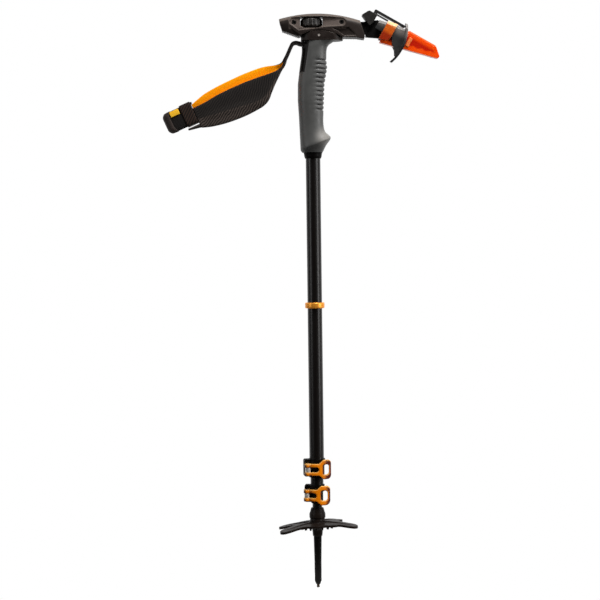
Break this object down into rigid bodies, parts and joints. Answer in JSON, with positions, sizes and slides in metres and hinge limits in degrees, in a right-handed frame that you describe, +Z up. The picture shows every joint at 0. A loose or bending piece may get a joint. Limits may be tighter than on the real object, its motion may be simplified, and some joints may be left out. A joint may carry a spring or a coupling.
{
  "type": "telescopic ski pole",
  "caption": "Collapsed telescopic ski pole with lever locks, rubber grip, wrist strap, powder basket and a T-shaped self-arrest head carrying a drooped, sheathed pick.",
  "frame": {"origin": "lowest point of the carbide tip, on the pole axis", "axes": "+Z up the pole axis from tip to head, +X towards the pick, -Y towards the side that the picture shows"},
  "size_m": [0.3411, 0.0708, 0.7154],
  "materials": {
    "shaft": "black anodised",
    "orange_metal": "orange anodised",
    "grip_rubber": "moulded matt",
    "black_plastic": "moulded",
    "head_plastic": "moulded fine grain",
    "basket_plastic": "moulded",
    "steel": "turned",
    "dark_steel": "black",
    "carbide": "ground",
    "wheel_plastic": "moulded",
    "brass": "turned",
    "sheath_plastic": "translucent",
    "band_plastic": "translucent",
    "clip_plastic": "moulded",
    "black_rubber": "moulded",
    "block_rubber": "moulded",
    "webbing": "woven",
    "lining": "knitted"
  },
  "bodies": {
    "handle": {"upper_shaft": "shaft", "shaft_ring": "orange_metal", "grip": "grip_rubber", "grip_collar": "black_plastic", "grip_flange": "head_plastic", "strap_wedge": "black_plastic", "strap_pin": "steel", "flange_pin": "steel", "head_stud": "steel", "upper_clamp": "black_plastic", "upper_barrel": "steel"},
    "head": {"head_shell_near": "head_plastic", "head_shell_far": "head_plastic", "head_screw_front": "dark_steel", "head_screw_rear": "dark_steel", "head_nut_front": "dark_steel", "head_nut_rear": "dark_steel", "pick": "dark_steel"},
    "wheel": {"thumbwheel": "wheel_plastic", "wheel_insert": "brass"},
    "pick_guard": {"pick_sheath": "sheath_plastic", "sheath_band": "band_plastic", "sheath_clip": "clip_plastic", "retainer_strap": "black_rubber", "retainer_block": "block_rubber"},
    "strap": {"strap_neck": "webbing", "strap_pad_near": "webbing", "strap_pad_far": "webbing", "strap_lining_near": "lining", "strap_lining_far": "lining", "strap_end_fold": "webbing", "strap_keeper": "webbing", "strap_tab": "lining"},
    "upper_lock_lever": {"upper_lever": "orange_metal"},
    "upper_lock_screw": {"upper_tension_screw": "steel"},
    "middle_section": {"middle_shaft": "shaft", "middle_stop": "black_plastic", "guide_bush": "black_plastic", "lower_clamp": "black_plastic", "lower_barrel": "steel"},
    "lower_lock_lever": {"lower_lever": "orange_metal"},
    "lower_lock_screw": {"lower_tension_screw": "steel"},
    "lower_section": {"lower_shaft": "shaft", "lower_stop": "black_plastic", "ferrule": "black_plastic", "carbide_tip": "carbide", "basket": "basket_plastic", "basket_collar": "basket_plastic"}
  },
  "joints": [
    {"name": "middle_slide", "type": "slide", "parent": "handle", "child": "middle_section", "axis": [0, 0, -1], "range_m": [0, 0.33]},
    {"name": "lower_slide", "type": "slide", "parent": "middle_section", "child": "lower_section", "axis": [0, 0, -1], "range_m": [0, 0.32]},
    {"name": "upper_lever_open", "type": "hinge", "parent": "handle", "child": "upper_lock_lever", "pos_m": [-0.01118, -0.01091, 0.1491], "axis": [0, 0, -1], "range_deg": [0, 110]},
    {"name": "lower_lever_open", "type": "hinge", "parent": "middle_section", "child": "lower_lock_lever", "pos_m": [-0.01265, -0.00651, 0.1167], "axis": [0, 0, -1], "range_deg": [0, 110]},
    {"name": "upper_screw_turn", "type": "hinge", "parent": "handle", "child": "upper_lock_screw", "pos_m": [-0.01118, -0.01091, 0.1491], "axis": [-0.1736, 0.9848, 0], "continuous": true},
    {"name": "lower_screw_turn", "type": "hinge", "parent": "middle_section", "child": "lower_lock_screw", "pos_m": [-0.01265, -0.00651, 0.1167], "axis": [0.1045, 0.9945, 0], "continuous": true},
    {"name": "head_lift", "type": "slide", "parent": "handle", "child": "head", "axis": [0, 0, 1], "range_m": [0, 0.03]},
    {"name": "wheel_turn", "type": "hinge", "parent": "head", "child": "wheel", "pos_m": [0, 0, 0.6997], "axis": [0, 0, 1], "continuous": true},
    {"name": "guard_slide", "type": "slide", "parent": "head", "child": "pick_guard", "axis": [0.866, 0, -0.5], "range_m": [0, 0.11]},
    {"name": "strap_swing", "type": "hinge", "parent": "handle", "child": "strap", "pos_m": [-0.0071, 0, 0.6744], "axis": [0, 1, 0], "range_deg": [-8, 6]}
  ]
}
